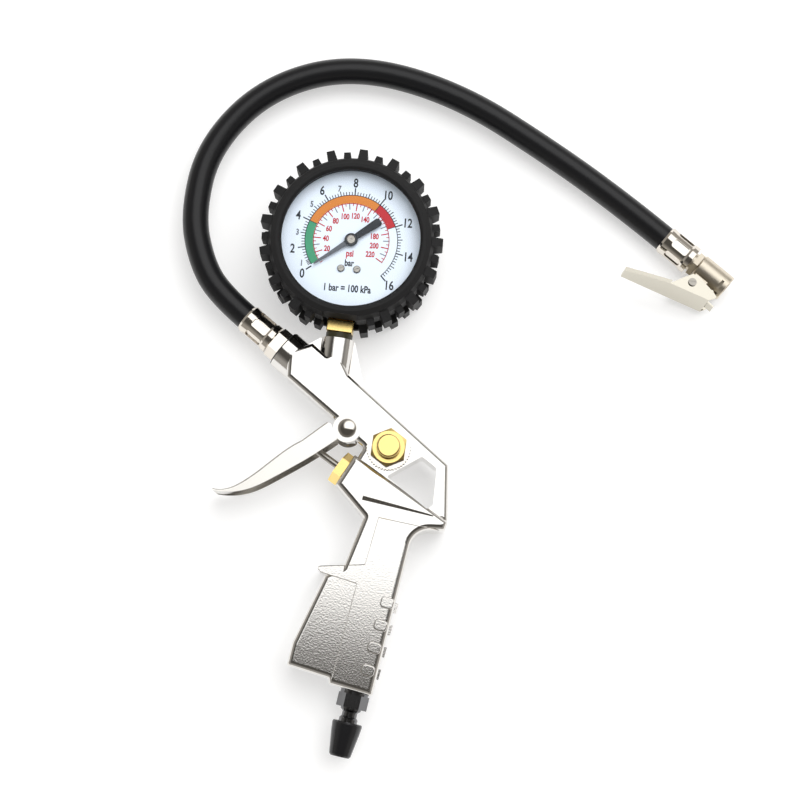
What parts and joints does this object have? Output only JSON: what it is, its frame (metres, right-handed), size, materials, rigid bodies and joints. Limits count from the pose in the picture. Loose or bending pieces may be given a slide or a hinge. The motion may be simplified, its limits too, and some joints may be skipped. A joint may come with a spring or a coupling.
{
  "type": "tyre inflator with gauge",
  "caption": "Pistol-grip tyre inflator: die-cast valve gun with trigger lever, booted dial gauge, bleed button, air plug, and a hose with a clip-on chuck.",
  "frame": {"origin": "centre of the gauge boot's closed back face, which lies on the table", "axes": "+Z out of the dial, +Y from the grip up the gun to the dial's twelve o'clock, the hose leaves the gun towards -X"},
  "size_m": [0.2568, 0.3204, 0.038],
  "materials": {
    "boot_rubber": "matt black moulded rubber",
    "hose_rubber": "glossy black hose cover",
    "seal_rubber": "matt black seal",
    "case_steel": "black painted sheet",
    "black_ring": "semi-gloss black ring",
    "lens": "clear glass",
    "dial_white": "pale bluish white print ground",
    "print_black": "black print",
    "print_grey": "grey print",
    "print_red": "red print",
    "print_orange": "orange print",
    "print_green": "green print",
    "pointer_paint": "dark grey pointer",
    "screw_steel": "bright steel",
    "yellow_brass": "bright turned brass",
    "thread_seal": "dark thread sealant",
    "nickel_casting": "satin nickel plate on a die casting",
    "lever_nickel": "satin nickel plate on sheet",
    "polished_nickel": "polished nickel plate",
    "warm_nickel": "warm polished nickel plate",
    "lever_sheet": "dull plated sheet",
    "dark_chrome": "dark polished plate",
    "cap_plastic": "glossy black soft cap"
  },
  "bodies": {
    "gun": {"gauge_boot": "boot_rubber", "gauge_case": "case_steel", "gauge_bezel": "black_ring", "lens_gasket": "seal_rubber", "gauge_lens": "lens", "gauge_dial": "dial_white", "dial_screws": "screw_steel", "gauge_socket": "yellow_brass", "gauge_thread_seal": "thread_seal", "bourdon_tube": "yellow_brass", "movement_frame": "yellow_brass", "body_casting": "nickel_casting", "lever_pin": "polished_nickel", "lever_pin_clip": "screw_steel", "gland_nut": "yellow_brass", "gland_o_ring": "seal_rubber", "valve_seat": "yellow_brass", "bleed_lock_ring": "polished_nickel", "bleed_cap": "yellow_brass", "bleed_spring": "screw_steel", "inlet_plug": "dark_chrome", "inlet_strainer": "screw_steel", "hose_nut": "polished_nickel", "hose_seal_ring": "seal_rubber", "gun_ferrule": "polished_nickel", "hose": "hose_rubber", "chuck_ferrule": "polished_nickel", "chuck_tail": "warm_nickel", "chuck_body": "warm_nickel", "chuck_seal": "seal_rubber", "chuck_depressor": "screw_steel", "chuck_pivot_pin": "screw_steel", "chuck_lever_spring": "screw_steel"},
    "lever": {"trigger_lever": "lever_nickel"},
    "valve_stem": {"push_rod": "screw_steel", "poppet_seal": "seal_rubber", "valve_poppet": "yellow_brass", "valve_spring": "screw_steel"},
    "bleed_push": {"bleed_button": "yellow_brass", "bleed_seal": "seal_rubber"},
    "sector": {"sector_gear": "yellow_brass"},
    "pointer": {"pointer_arbor": "screw_steel", "pointer_blade": "pointer_paint", "pointer_hub": "screw_steel"},
    "clip_lever": {"chuck_lever": "lever_sheet"},
    "cap": {"plug_cap": "cap_plastic"}
  },
  "joints": [
    {"name": "lever_hinge", "type": "hinge", "parent": "gun", "child": "lever", "pos_m": [0.0101, -0.0841, 0.014], "axis": [0, 0, 1], "range_deg": [0, 14], "stiffness_Nm_per_rad": 1, "springref_deg": -20.05},
    {"name": "valve_slide", "type": "slide", "parent": "gun", "child": "valve_stem", "axis": [0.8788, -0.4772, 0], "range_m": [0, 0.0044]},
    {"name": "bleed_slide", "type": "slide", "parent": "gun", "child": "bleed_push", "axis": [0, 0, -1], "range_m": [0, 0.002], "stiffness_N_per_m": 1500, "springref_m": -0.003, "deforming": ["bleed_spring"]},
    {"name": "sector_hinge", "type": "hinge", "parent": "gun", "child": "sector", "pos_m": [0.0123, -0.0123, 0.02], "axis": [0, 0, 1], "range_deg": [0, 26.4], "stiffness_Nm_per_rad": 0.02},
    {"name": "pointer_hinge", "type": "hinge", "parent": "gun", "child": "pointer", "pos_m": [0, 0, 0.0316], "axis": [0, 0, 1], "range_deg": [-264, 0]},
    {"name": "clip_hinge", "type": "hinge", "parent": "gun", "child": "clip_lever", "pos_m": [0.15532, 0.0036, 0.01079], "axis": [-0.1477, -0.2327, -0.9613], "range_deg": [0, 18], "stiffness_Nm_per_rad": 0.3, "springref_deg": -17.19},
    {"name": "cap_slide", "type": "slide", "parent": "gun", "child": "cap", "axis": [-0.0958, -0.9954, 0], "range_m": [0, 0.028]}
  ],
  "couplings": [
    {"joint": "valve_slide", "follows": "lever_hinge", "m_per_rad": 0.018},
    {"joint": "pointer_hinge", "follows": "sector_hinge", "ratio": -10}
  ]
}
